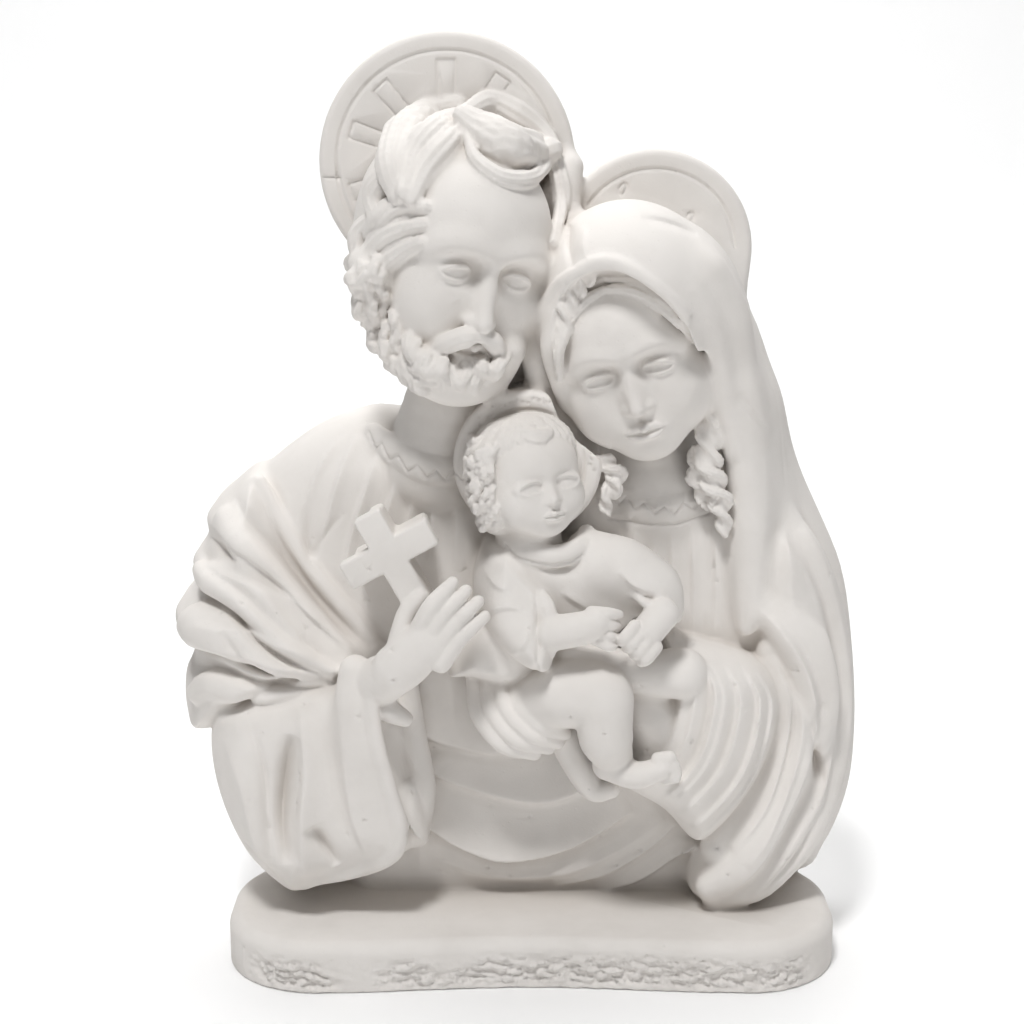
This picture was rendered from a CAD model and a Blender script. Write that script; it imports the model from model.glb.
# A plaster cast of a bearded man, a veiled woman and a child, in high relief on a low base.
# The whole cast is sculpted as clay: a grid of distances to the surface, in millimetres, which
# forms are added to and cut from. Here x runs to the viewer's right from the base's middle,
# y back from the front (the flat back is y = 0), and z up from the top of the base.
import math

import bpy
import numpy as np
import openvdb
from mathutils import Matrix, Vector


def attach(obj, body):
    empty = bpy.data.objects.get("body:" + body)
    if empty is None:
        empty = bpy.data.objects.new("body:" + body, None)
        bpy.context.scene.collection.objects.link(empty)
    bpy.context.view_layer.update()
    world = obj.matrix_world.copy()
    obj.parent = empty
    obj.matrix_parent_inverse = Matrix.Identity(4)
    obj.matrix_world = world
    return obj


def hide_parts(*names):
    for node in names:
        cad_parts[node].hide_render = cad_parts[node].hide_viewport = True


grain = {
    "cell": 0.72,  # size of a grain of clay
    "quickCell": 1.3,
    "faces": 190000,  # triangles left in the finished cast
    "sides": (-168, 160),  # how far the clay's grid reaches
    "top": 385,
    "far": 1000.0,
    "recessStep": 3,  # grains between the readings of how hollow a place is
    "recessReach": 5.0,
}
baseSize = {
    "length": 268.0,
    "depth": 100.0,
    "height": 22.0,
    "corner": 42.0,
    "edge": 6.0,
    "waist": 6.0,  # how far the front curves in at its middle
}


# Lines and distances.


def curveThrough(points, steps=6, closed=False):  # a smooth line through the points
    points = np.asarray(points, float)
    if closed:
        padded = np.vstack([points[-1], points, points[:2]])
    else:
        padded = np.vstack([2 * points[0] - points[1], points, 2 * points[-1] - points[-2]])
    t = np.linspace(0, 1, steps, endpoint=False)[:, None]
    line = []
    for a, b, c, d in zip(padded, padded[1:], padded[2:], padded[3:]):
        bend = (2 * a - 5 * b + 4 * c - d) * t**2 + (3 * b - a - 3 * c + d) * t**3
        line.append(0.5 * (2 * b + (c - a) * t + bend))
    if not closed:
        line.append(points[-1:])
    return np.vstack(line)


def between(first, last, count):  # lines that pass evenly from the first to the last
    first, last = np.asarray(first, float), np.asarray(last, float)
    return [first + (last - first) * share for share in np.linspace(0, 1, count)]


def spread(values, count):
    return np.interp(np.linspace(0, 1, count), np.linspace(0, 1, len(values)), values)


def melt(a, b, blend):  # the lower of two distances, with a fillet between them
    near = np.maximum(blend - np.abs(a - b), 0)
    return np.minimum(a, b) - near * near / (4 * blend)


def turnedBy(yaw=0.0, pitch=0.0, roll=0.0):
    # Columns are a head's own right, up and forward. Yaw turns it to the viewer's right, pitch
    # bends it down and roll leans its top to the viewer's right, in degrees.
    a, b, c = (math.radians(v) for v in (yaw, pitch, roll))
    forward = np.array([math.sin(a) * math.cos(b), -math.cos(a) * math.cos(b), -math.sin(b)])
    right = np.array([math.cos(a), math.sin(a), 0.0])
    up = np.cross(right, -forward)
    leanRight = right * math.cos(c) - up * math.sin(c)
    leanUp = right * math.sin(c) + up * math.cos(c)
    return np.stack([leanRight, leanUp, forward], axis=1)


def readBetween(values, at):  # a grid of values, read between its points
    first = np.clip(at.astype(int), 0, np.array(values.shape) - 2)
    share = np.clip(at - first, 0, 1)
    total = np.zeros(len(at))
    for corner in range(8):
        pick = np.array([(corner >> i) & 1 for i in range(3)])
        i, j, k = (first + pick).T
        total += np.prod(np.where(pick, share, 1 - share), axis=1) * values[i, j, k]
    return total


class Clay:
    def __init__(self, low, high, cell):
        self.cell = cell
        self.low = np.asarray(low, float)
        counts = np.ceil((np.asarray(high, float) - self.low) / cell).astype(int) + 1
        self.axes = [(self.low[i] + cell * np.arange(counts[i])).astype(np.float32) for i in range(3)]
        self.field = np.full(counts, grain["far"], np.float32)

    def window(self, low, high):  # the grains inside a box, with their x, y and z
        cuts = []
        for i in range(3):
            first = max(0, int((low[i] - self.low[i]) / self.cell) - 1)
            last = int((high[i] - self.low[i]) / self.cell) + 2
            cuts.append(slice(first, max(first + 1, last)))
        x, y, z = (self.axes[i][cuts[i]] for i in range(3))
        return tuple(cuts), x[:, None, None], y[None, :, None], z[None, None, :]

    def add(self, shape, blend=2.0, sign=1):
        distance, low, high = shape
        reach = blend + 2 * self.cell
        cuts, x, y, z = self.window(np.asarray(low) - reach, np.asarray(high) + reach)
        part = self.field[cuts]
        if part.size:
            part[...] = sign * melt(sign * part, distance(x, y, z), blend)

    def cut(self, shape, blend=1.0):
        self.add(shape, blend, sign=-1)

    def frontAt(self, x, z, spare):  # y of the surface seen from the front, or spare off its edge
        i = int(round((x - self.low[0]) / self.cell))
        k = int(round((z - self.low[2]) / self.cell))
        if not (0 <= i < self.field.shape[0] and 0 <= k < self.field.shape[2]):
            return spare
        column = self.field[i, :, k]
        inside = np.flatnonzero(column < 0)
        if not len(inside) or inside[0] == 0:
            return spare
        j = inside[0]
        share = column[j - 1] / (column[j - 1] - column[j])
        return float(self.axes[1][j - 1] + share * self.cell)

    def depthAt(self, places):  # distance to the surface
        return readBetween(self.field, (np.asarray(places) - self.low) / self.cell)

    def outAt(self, x, y, z):  # the way the surface faces
        f = self.field
        i, j, k = (int(np.clip(round((v - self.low[n]) / self.cell), 2, f.shape[n] - 3))
                   for n, v in enumerate((x, y, z)))
        way = np.array([f[i + 2, j, k] - f[i - 2, j, k], f[i, j + 2, k] - f[i, j - 2, k],
                        f[i, j, k + 2] - f[i, j, k - 2]], float)
        length = np.linalg.norm(way)
        if length < 1e-3 or length > 20 * self.cell:
            return np.array([0.0, -1.0, 0.0])
        way = way / length + (0, -0.8, 0)  # leans to the front, so that nothing sprouts sideways
        return way / np.linalg.norm(way)


# Forms: each is a distance, with the lowest and highest corner that it reaches.


def ownAxes(x, y, z, centre, turn):  # places as seen from a form's own centre and axes
    p = (x - centre[0], y - centre[1], z - centre[2])
    if turn is None:
        return p
    return tuple(p[0] * turn[0, i] + p[1] * turn[1, i] + p[2] * turn[2, i] for i in range(3))


def ball(centre, radii, turn=None):
    centre = np.asarray(centre, float)
    radii = np.broadcast_to(np.asarray(radii, float), (3,))
    reach = np.full(3, radii.max()) if turn is not None else radii

    def distance(x, y, z):
        p = ownAxes(x, y, z, centre, turn)
        near = np.sqrt(sum((p[i] / radii[i]) ** 2 for i in range(3)))
        slope = np.sqrt(sum((p[i] / radii[i] ** 2) ** 2 for i in range(3))) + 1e-6
        return near * (near - 1) / slope

    return distance, centre - reach, centre + reach


def strand(points, radii, flat=1.0, outs=None, hairs=0.0, comb=0.0, steps=5):
    # A roll along a smooth line. It is flattened towards outs, and combed with fine grooves.
    line = curveThrough(points, steps)
    radius = spread(radii, len(line))
    if outs is None:
        outs = [(0.0, -1.0, 0.0)] * len(points)
    ways = np.stack([spread([o[i] for o in outs], len(line)) for i in range(3)], axis=1)
    ways /= np.linalg.norm(ways, axis=1)[:, None] + 1e-9
    reach = radius.max() * max(1.0, flat) + comb

    def distance(x, y, z):
        best = None
        for i in range(len(line) - 1):
            a, step, out = line[i], line[i + 1] - line[i], ways[i]
            square = max(float(step @ step), 1e-9)
            px, py, pz = x - a[0], y - a[1], z - a[2]
            t = np.clip((px * step[0] + py * step[1] + pz * step[2]) / square, 0, 1)
            ex, ey, ez = px - t * step[0], py - t * step[1], pz - t * step[2]
            gap = ex * ex + ey * ey + ez * ez
            if flat != 1.0:
                rise = ex * out[0] + ey * out[1] + ez * out[2]
                gap = gap + rise * rise * (1 / flat**2 - 1)
            thick = radius[i] + (radius[i + 1] - radius[i]) * t
            gap = np.sqrt(gap) - thick
            if hairs:
                side = np.cross(step / math.sqrt(square), out)
                across = (ex * side[0] + ey * side[1] + ez * side[2]) / np.maximum(thick, 0.5)
                gap = gap + comb * thick / radius.max() * np.cos(math.pi * hairs * across)
            best = gap if best is None else np.minimum(best, gap)
        return best.astype(np.float32)

    return distance, line.min(0) - reach, line.max(0) + reach


def outlineDistance(x, z, outline):  # to a closed outline in the x, z plane, negative inside
    best = np.full(np.broadcast_shapes(x.shape, z.shape), grain["far"] ** 2, np.float32)
    inside = np.zeros(best.shape, bool)
    for a, b in zip(outline, np.roll(outline, -1, axis=0)):
        dx, dz = b[0] - a[0], b[1] - a[1]
        square = max(dx * dx + dz * dz, 1e-9)
        t = np.clip(((x - a[0]) * dx + (z - a[1]) * dz) / square, 0, 1)
        best = np.minimum(best, (x - a[0] - t * dx) ** 2 + (z - a[1] - t * dz) ** 2)
        if dz:
            inside ^= ((a[1] > z) != (b[1] > z)) & (x < dx * (z - a[1]) / dz + a[0])
    return np.where(inside, -np.sqrt(best), np.sqrt(best))


def roundedFront(side, proud, edge):
    rounded = np.hypot(np.maximum(side + edge, 0), np.maximum(proud + edge, 0))
    return np.minimum(np.maximum(side, proud) + edge, 0) + rounded - edge


def mass(points, front, edge, bulge=0.0, reach=20.0, tilt=(0.0, 0.0), steps=5):
    # A draped mass behind a smooth outline, its front domed by bulge and leaning by tilt.
    outline = curveThrough(points, steps, closed=True)
    low, high = outline.min(0), outline.max(0)
    middle = (low + high) / 2

    def distance(x, y, z):
        x, z = x[:, 0, :], z[:, 0, :]
        flat = outlineDistance(x, z, outline)
        inner = np.clip(-flat / reach, 0, 1)
        face = -front + bulge * (1 - inner) ** 2 + tilt[0] * (x - middle[0]) + tilt[1] * (z - middle[1])
        body = roundedFront(flat[:, None, :], face[:, None, :] - y, edge)
        return np.maximum(body, y)

    lean = abs(tilt[0]) * (high[0] - low[0]) / 2 + abs(tilt[1]) * (high[1] - low[1]) / 2
    return distance, (low[0], -front - lean, low[1]), (high[0], 0, high[1])


def board(centre, half, turn, edge):  # a block with rounded edges
    centre, half = np.asarray(centre, float), np.asarray(half, float)
    reach = np.full(3, np.linalg.norm(half))

    def distance(x, y, z):
        q = [np.abs(v) - half[i] + edge for i, v in enumerate(ownAxes(x, y, z, centre, turn))]
        out = np.sqrt(sum(np.maximum(v, 0) ** 2 for v in q))
        return out + np.minimum(np.maximum(np.maximum(q[0], q[1]), q[2]), 0) - edge

    return distance, centre - reach, centre + reach


def folds(clay, lines, crisp=1.5):
    # Raises the clay's front along lines of (points, height, soft width, sharp width). The soft
    # side is above a line that runs to the right, and the viewer's right of one that runs down.
    smooth = [(curveThrough(line[0], 8), *line[1:]) for line in lines]
    low = np.min([s[0].min(0) - 3 * max(s[2:]) for s in smooth], axis=0)
    high = np.max([s[0].max(0) + 3 * max(s[2:]) for s in smooth], axis=0)
    cuts, x, y, z = clay.window((low[0], -200, low[1]), (high[0], 10, high[1]))
    x, z = x[:, 0, :], z[:, 0, :]
    heights = np.zeros((x.shape[0], z.shape[1]), np.float32)
    for line, height, soft, sharp in smooth:
        best = np.full(heights.shape, grain["far"] ** 2, np.float32)
        wide = np.full(heights.shape, soft, np.float32)
        along = np.zeros(heights.shape, np.float32)
        for i in range(len(line) - 1):
            a, step = line[i], line[i + 1] - line[i]
            square = max(float(step @ step), 1e-9)
            t = np.clip(((x - a[0]) * step[0] + (z - a[1]) * step[1]) / square, 0, 1)
            ex, ez = x - a[0] - t * step[0], z - a[1] - t * step[1]
            gap = ex * ex + ez * ez
            nearer = gap < best
            side = step[0] * ez - step[1] * ex
            best = np.where(nearer, gap, best)
            wide = np.where(nearer, np.where(side > 0, soft, sharp), wide)
            along = np.where(nearer, (i + t) / (len(line) - 1), along)
        taper = np.clip(np.sin(math.pi * along), 0, 1) ** 0.6
        heights += height * taper * np.exp(-((np.sqrt(best) / wide) ** crisp))
    share = np.clip(-(y[0, :, 0] + 20) / 12, 0, 1)  # none on the back 20 mm, full 12 mm further on
    clay.field[cuts] -= heights[:, None, :] * share[None, :, None]


def strands(clay, forms):  # of (points, radii, blend), one after another
    for points, radii, blend in forms:
        clay.add(strand(points, radii), blend)


def lay(clay, points, radii, lift=0.4, spare=-40.0, blend=1.0, **more):
    # A roll laid on the clay along x, z points, proud of it by a share of its own thickness.
    places, outs = [], []
    for (x, z), radius in zip(points, spread(radii, len(points))):
        y = clay.frontAt(x, z, spare)
        out = clay.outAt(x, y, z)
        places.append(np.array([x, y, z]) + out * lift * radius)
        outs.append(out)
    clay.add(strand(places, radii, outs=outs, **more), blend)


# Heads. A head's own u runs to its right as the viewer sees it, v up and w forward, in shares of
# the height from chin to crown: the eyes lie half way, and nose and mouth on the thirds.


class Head:
    def __init__(self, clay, who):
        self.clay, self.height, self.wide = clay, who["height"], who["wide"]
        self.centre = np.asarray(who["centre"], float)
        self.turn = turnedBy(*who["turn"])

    def at(self, u, v, w):
        return self.centre + self.turn @ (np.array([u * self.wide, v, w]) * self.height)

    def skin(self, u, v):  # how far forward the surface lies there
        ways = np.arange(0.60, 0.0, -0.01)
        depths = self.clay.depthAt([self.at(u, v, w) for w in ways])
        inside = np.flatnonzero(depths < 0)
        if not len(inside) or inside[0] == 0:
            return 0.3
        j = inside[0]
        return ways[j - 1] - 0.01 * depths[j - 1] / (depths[j - 1] - depths[j])

    def put(self, form, blend, hollow):  # adds a form, or cuts it away
        work = self.clay.cut if hollow else self.clay.add
        work(form, blend * self.height)

    def ball(self, place, radii, blend, hollow=False):
        size = np.multiply(radii, (self.wide, 1, 1)) * self.height
        self.put(ball(self.at(*place), size, self.turn), blend, hollow)

    def dent(self, place, radii, blend):
        self.ball(place, radii, blend, hollow=True)

    def roll(self, places, radii, blend, hollow=False, **more):
        form = strand([self.at(*p) for p in places], np.asarray(radii) * self.height, **more)
        self.put(form, blend, hollow)

    def groove(self, places, radii, blend):
        self.roll(places, radii, blend, hollow=True)

    def draw(self, path, radii, lift, blend, **more):  # on the skin, or a groove if lift is None
        places = [(u, v, self.skin(u, v) + (lift or 0.0)) for u, v in path]
        self.roll(places, radii, blend, hollow=lift is None, **more)

    def scalp(self, around, up, proud):  # in degrees from straight ahead and from mid-height
        a, b = math.radians(around), math.radians(up)
        way = np.array([math.sin(a) * math.cos(b), math.sin(b), math.cos(a) * math.cos(b)])
        skull = np.array([0.33, 0.375, 0.42])
        out = self.turn @ (way / skull)
        return self.at(*((0, 0.12, -0.06) + way * (skull + proud))), out / np.linalg.norm(out)

    def lock(self, path, radii, proud, blend=0.8, **more):  # hair laid along the scalp
        spots = [self.scalp(around, up, proud) for around, up in curveThrough(path, 3)]
        form = strand([s[0] for s in spots], radii, outs=[s[1] for s in spots], steps=2, **more)
        self.clay.add(form, blend)


def eye(head, side, look):
    u, v, size, lid = side * 0.135, look["eyes"], look["eye"], look["lid"]
    deep = head.skin(u, v)
    soft = 0.022 * (1 - look["socket"])
    head.dent((side * 0.120, v + 0.016, deep + 0.047 + soft), (0.105, 0.062, 0.070), 0.06)
    if look["socket"] > 0.5:
        head.dent((side * 0.066, v + 0.002, deep + 0.056 + soft), (0.034, 0.034, 0.075), 0.05)
    w = deep - 0.072 + soft
    head.ball((u, v - 0.004, w), (0.082 * size, 0.068 * size, 0.074), 0.014)
    half = 0.064 * size
    along = (-1.0, -0.55, 0.0, 0.55, 1.0)
    front = [(u + side * half * a, v - 0.004 - 0.006 * a, w + 0.078 - 0.022 * a * a) for a in along]
    head.groove(front, np.array([0.15, 0.85, 1.0, 0.75, 0.12]) * lid, 0.003)
    head.ball((u, v - 0.006, w), (0.070 * size, 0.062 * size, 0.074 - look["rim"]), 0.002)
    # The upper lid's edge, the crease above it and the lower lid.
    arch = [(p[0], p[1] + lid * k) for p, k in zip(front, (0.25, 0.95, 1.12, 0.90, 0.15))]
    head.draw(arch, (0.004, 0.0095, 0.011, 0.0095, 0.004), 0.001, 0.004)
    head.draw([(a, b + 0.021 * size) for a, b in arch], (0.002, 0.006, 0.006, 0.006, 0.002), None, 0.008)
    under = [(p[0], p[1] - lid * k) for p, k in zip(front, (0.25, 0.95, 1.10, 0.90, 0.15))]
    head.draw(under, (0.003, 0.006, 0.006, 0.006, 0.003), -0.001, 0.004)


def face(head, look):
    jaw, long, eyes, tip = look["jaw"], look["long"], look["eyes"], look["tip"]
    lips, mouth, full = look["lips"], look["mouth"], look["full"]
    head.ball((0, 0.12, -0.06), (0.33, 0.375, 0.42), 0.02)
    head.ball((0, 0.17, 0.16), (0.265, 0.22, 0.20), 0.10)
    head.ball((0, -0.055 * long, 0.06), (0.315 * jaw, 0.445 * long, 0.285), 0.10)
    head.ball((0, -0.400 * long, 0.235), (0.125 * jaw, 0.095, 0.090), 0.10)
    head.ball((0, -0.28 * long, 0.265), (0.130, 0.11, 0.090), 0.07)
    for side in (-1, 1):
        head.ball((side * 0.165, -0.13 * long, 0.205), (0.105, 0.095, 0.105), 0.10)
        head.ball((side * 0.150, -0.23 * long, 0.175), np.array([0.12, 0.13, 0.12]) * look["puff"], 0.12)
        if look["brow"]:
            brow = [(side * 0.055, eyes + 0.100), (side * 0.120, eyes + 0.118),
                    (side * 0.19, eyes + 0.108), (side * 0.245, eyes + 0.060)]
            head.draw(brow, np.multiply((0.018, 0.028, 0.026, 0.012), look["brow"]), -0.012, 0.08)
        eye(head, side, look)
    rise = 0.385 + 0.025 * look["nose"]
    root = 0.330 + 0.020 * look["nose"]
    head.ball((0, (eyes + tip) / 2 - 0.03, 0.300), (0.060, 0.110, 0.085), 0.05)
    bridge = [(0, eyes + 0.085, root - 0.010), (0, eyes + 0.02, root),
              (0, tip * 0.55, (root + rise) / 2 + 0.004), (0, tip + 0.014, rise)]
    head.roll(bridge, (0.034, 0.026, 0.028, 0.036), 0.045)
    for side in (-1, 1):
        head.ball((side * 0.042, tip + 0.006, rise - 0.052), (0.026, 0.022, 0.036), 0.03)
        head.dent((side * 0.021, tip - 0.025, rise - 0.012), (0.012, 0.010, 0.018), 0.008)
    head.draw([(0, tip - 0.040), (0, lips + 0.040)], (0.006, 0.012), None, 0.02)
    for side in (-1, 1):
        upper = [(side * 0.098 * mouth, lips), (side * 0.055 * mouth, lips + 0.018),
                 (side * 0.018, lips + 0.027), (0, lips + 0.022)]
        head.draw(upper, np.multiply((0.006, 0.016, 0.020, 0.018), full), 0.004, 0.010)
    lower = ((-0.080, -0.012), (-0.040, -0.025), (0, -0.029), (0.040, -0.025), (0.080, -0.012))
    lower = [(u * mouth, lips + v) for u, v in lower]
    head.draw(lower, np.multiply((0.008, 0.020, 0.024, 0.020, 0.008), full), 0.006, 0.010)
    gap = ((-0.100, 0), (-0.05, -0.002), (0, -0.004), (0.05, -0.002), (0.100, 0))
    gap = [(u * mouth, lips + v) for u, v in gap]
    head.draw(gap, (0.003, 0.007, 0.008, 0.007, 0.003), None, 0.006)
    head.dent((0, lips - 0.066, head.skin(0, lips - 0.066) + 0.012), (0.055, 0.016, 0.024), 0.03)


# The man.

man = {
    "centre": (-31, -42, 287),
    "height": 102,
    "wide": 1.0,
    "turn": (22, 11, 11),  # yaw, pitch, roll
    "look": {
        "jaw": 1.0, "long": 1.0, "puff": 0.8, "brow": 1.15, "nose": 1.2, "tip": -0.185,
        "eyes": 0.0, "eye": 1.0, "lid": 0.027, "rim": 0.011, "socket": 1.0, "lips": -0.305, "full": 1.0,
        "mouth": 1.0,
    },
    "halo": (-36.5, 324),
    "haloRadius": 55.0,
    "neck": ([(-32, -28, 262), (-35, -30, 226), (-42, -26, 192)], (22, 19, 24)),
    "collar": ([(-69, 209), (-60, 202), (-48, 197), (-36, 195), (-24, 196)], (4, 6.5, 7, 7, 7, 6)),
}


def manHair(clay, head):
    head.ball((-0.03, 0.12, -0.12), (0.385, 0.405, 0.40), 0.02)
    head.ball((-0.20, 0.00, -0.10), (0.21, 0.33, 0.30), 0.03)
    locks = [  # path, radii, lift, flatness, hairs
        ([(6, 332), (11, 320), (12, 307), (8, 293)], (3, 4, 2.5), 0.2, 0.8, 3),
        ([(-64, 304), (-70, 298), (-71, 290), (-66, 283)], (3, 5.5, 3.5), 0.1, 0.9, 3),
        ([(-50, 324), (-58, 320), (-64, 312), (-63, 303)], (4, 7, 4), 0.1, 0.8, 4),
        ([(-45, 295), (-53, 291), (-60, 285), (-60, 277)], (2.4, 4.6, 3.0), 0.1, 0.9, 3),
        ([(-44, 302), (-52, 300), (-60, 296), (-65, 289), (-62, 282)], (2.5, 4.8, 5, 3.0), 0.2, 0.9, 3),
        ([(-43, 309), (-52, 309), (-61, 305), (-67, 297)], (2.5, 5.2, 5, 3.0), 0.2, 0.9, 3),
        ([(-32, 347), (-44, 344), (-53, 336), (-57, 325), (-54, 314)], (5, 9, 5), 0.15, 0.7, 5),
        ([(-29, 344), (-39, 338), (-48, 328), (-52, 315)], (4, 8, 3.5), 0.2, 0.7, 5),
        ([(-28, 340), (-35, 333), (-43, 323), (-49, 312)], (3, 6, 3), 0.3, 0.8, 3),
        ([(-28, 345), (-18, 349), (-7, 344), (3, 337), (9, 329)], (4, 7, 4), 0.2, 0.8, 4),
        ([(-28, 337), (-23, 327), (-13, 320), (-2, 319), (7, 324)], (1.8, 3.0, 3.6, 2.6), 0.5, 0.9, 3),
        ([(-28, 343), (-21, 336), (-11, 330), (0, 328), (8, 330)], (5, 9.5, 10, 5), 0.45, 0.8, 5),
    ]
    for points, radii, lift, flat, hairs in locks:
        lay(clay, points, radii, lift=lift, blend=1.6, flat=flat, hairs=hairs, comb=0.45, spare=-30)


def curls(clay, line, rows, size, spare):  # small hooks along a line, some rows abreast
    for row, across in enumerate(rows):
        for i, (x, z) in enumerate(line[:-1]):
            ahead = line[i + 1] - line[i]
            ahead = ahead / np.hypot(*ahead) * size
            side = np.array([ahead[1], -ahead[0]])
            middle = np.array([x, z]) + side * (across + math.sin(2.7 * i + row)) + ahead * (row % 2) * 2
            hook = [middle - ahead * 2.6 - side, middle - side * 1.6 * math.cos(2 * i + row),
                    middle + ahead * 2.2 + side * 1.2, middle + ahead * 0.5 + side * 2.6]
            lay(clay, hook, np.multiply((1.6, 2.7, 2.5, 1.4), size), lift=0.1, blend=1.2 * size, spare=spare,
                hairs=2, comb=0.35)


def manBeard(clay, head):
    jaw = curveThrough([(-70, 285), (-66, 268), (-58, 253), (-47, 243), (-33, 237), (-19, 239),
                        (-11, 249)], 4)
    lay(clay, jaw[::2], (6, 8, 8.5, 9.5, 10.5, 10.5, 8), lift=0.0, blend=4, spare=-35)
    curls(clay, jaw[:15], (-5.0, 0.5, 5.5), 1.0, -35)
    # Upright tufts over the chin.
    tops = curveThrough([(-53, 260), (-44, 251), (-32, 246), (-20, 247), (-11, 255)], 3)
    ends = curveThrough([(-54, 250), (-45, 242), (-33, 235), (-19, 236), (-10, 244)], 3)
    for i in range(1, len(tops) - 1):
        top, end = tops[i], ends[i] + (0, 1.5 * math.sin(2.2 * i))
        sway = (1.5 * math.cos(1.7 * i), 0)
        points = [top, top * 0.65 + end * 0.35 + sway, top * 0.3 + end * 0.7 - sway, end]
        lay(clay, points, (2.2, 3.2, 3.0, 1.2), lift=0.0, blend=1.2, hairs=3, comb=0.4, spare=-60)
    for side in (-1, 1):
        places = [(side * 0.005, -0.225, 0.405), (side * 0.065, -0.243, 0.395), (side * 0.12, -0.30, 0.345),
                  (side * 0.15, -0.375, 0.27)]
        clay.add(strand([head.at(*p) for p in places], (2.2, 4.4, 4.0, 2.6), hairs=3, comb=0.3), 1.5)
    clay.add(strand([head.at(0, -0.365, 0.365), head.at(0, -0.42, 0.36)], (2.4, 4)), 1.5)


def manCloth(clay):
    clay.add(mass([(-78, 212), (-104, 200), (-124, 172), (-122, 110), (-60, 70), (0, 70), (10, 130),
                   (0, 192), (-40, 210)], 46, 24, bulge=5, reach=45, tilt=(0.0, 0.10)), 6)
    clay.add(mass([(-119, 189), (-104, 160), (-86, 136), (-66, 112), (-84, 96), (-120, 84), (-148, 76),
                   (-154, 86), (-154, 102), (-150, 112), (-157, 120), (-158, 130), (-149, 141), (-150, 152),
                   (-143, 162), (-143, 172), (-133, 182)],
                  65, 20, bulge=12, reach=34, tilt=(-0.15, 0.12), steps=6), 5)
    rolls = [
        ([(-119, 187), (-108, 169), (-95, 150), (-80, 132), (-67, 115)], (3.5, 4.4, 4.6, 4.6, 3), -0.1, 2),
        ([(-134, 174), (-124, 163), (-109, 149), (-93, 133), (-80, 120)], (4, 7, 7, 6, 3), -0.35, 5),
        ([(-143, 151), (-136, 148), (-120, 139), (-103, 124), (-88, 112)], (5, 9, 9, 7, 3), -0.15, 5),
        ([(-149, 127), (-142, 128), (-126, 121), (-108, 111), (-90, 106)], (6, 11, 10, 7, 3), -0.15, 5),
        ([(-146, 98), (-138, 104), (-126, 102), (-108, 101), (-94, 101)], (5, 7, 7, 5, 3), -0.1, 4),
    ]
    for points, radii, lift, blend in rolls:
        lay(clay, points, radii, lift=lift, blend=blend, spare=-24)
    clay.add(mass([(-110, 9), (-127, 26), (-138, 52), (-141, 78), (-134, 98), (-108, 104), (-80, 114),
                   (-66, 119), (-58, 112), (-56, 84), (-51, 54), (-50, 34), (-60, 23), (-88, 14), (-100, 8)],
                  78, 18, bulge=9, reach=28, tilt=(-0.04, 0.05)), 2)


def manFolds(clay):
    folds(clay, [  # points, height, soft width, sharp width
        ([(-74, 117), (-88, 131), (-102, 148), (-116, 166), (-129, 182)], -3.4, 1.5, 3.0),
        ([(-78, 117), (-92, 129), (-106, 144), (-121, 158), (-138, 168)], -3.0, 3.0, 1.4),
        ([(-82, 114), (-98, 123), (-112, 135), (-126, 147), (-146, 157)], -4.2, 1.8, 4.0),
        ([(-86, 110), (-102, 115), (-117, 125), (-131, 138), (-154, 143)], -3.4, 1.6, 3.4),
        ([(-86, 107), (-104, 108), (-120, 113), (-134, 117), (-152, 115)], -4.4, 2.0, 3.6),
        ([(-88, 104), (-104, 104), (-120, 107), (-134, 111), (-150, 106)], -2.4, 1.5, 3.0),
        ([(-90, 131), (-104, 141), (-120, 149), (-136, 153)], 2.0, 4.0, 1.5),
        ([(-92, 119), (-108, 124), (-124, 130), (-146, 131)], 2.2, 5.0, 1.6),
        ([(-92, 112), (-108, 114), (-122, 119), (-146, 122)], 1.8, 4.0, 1.5),
    ])
    folds(clay, [
        ([(-141, 163), (-134, 161), (-126, 157)], -2.5, 1.6, 1.6),
        ([(-132, 130), (-124, 118), (-110, 108)], -2.5, 2.0, 2.0),
    ])
    folds(clay, [  # pleats gathered under the collar
        ([(-84, 207), (-90, 198), (-95, 188), (-99, 176)], 2.0, 2.2, 1.0),
        ([(-76, 208), (-82, 196), (-87, 180), (-92, 160)], 2.4, 3.2, 1.0),
        ([(-66, 203), (-72, 186), (-79, 164), (-82, 146)], 2.4, 3.4, 1.0),
        ([(-56, 198), (-61, 182), (-67, 158)], 2.4, 3.2, 1.0),
        ([(-49, 196), (-52, 180), (-56, 158)], 2.2, 3.2, 1.0),
        ([(-41, 194), (-43, 178), (-45, 150)], 2.2, 3.2, 1.0),
        ([(-33, 193), (-33, 174), (-33, 150)], 1.8, 3.2, 1.0),
        ([(-97, 184), (-98, 170), (-97, 157), (-91, 147)], -1.8, 1.8, 1.8),
        ([(-82, 176), (-90, 165), (-96, 156)], -1.6, 1.6, 1.6),
    ])
    folds(clay, [  # the sleeve
        ([(-134, 88), (-124, 97), (-112, 104), (-98, 109)], -3.2, 2.6, 2.6),
        ([(-132, 82), (-124, 60), (-121, 42), (-116, 22)], 4.5, 8.0, 3.0),
        ([(-121, 92), (-115, 70), (-114, 46), (-112, 24)], -3.0, 2.2, 2.2),
        ([(-103, 86), (-106, 68), (-108, 48), (-106, 28)], -8.0, 4.2, 3.2),
        ([(-99, 98), (-97, 72), (-99, 46), (-98, 20)], 5.0, 6.0, 2.4),
        ([(-95, 46), (-91, 39), (-84, 27)], -5.5, 3.2, 3.2),
        ([(-80, 104), (-80, 76), (-77, 52), (-70, 30)], 4.2, 8.0, 1.8),
        ([(-72, 108), (-73, 84), (-70, 60)], -2.2, 1.6, 1.6),
        ([(-128, 34), (-118, 28), (-108, 14)], -2.0, 2.0, 2.0),
    ])


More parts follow.
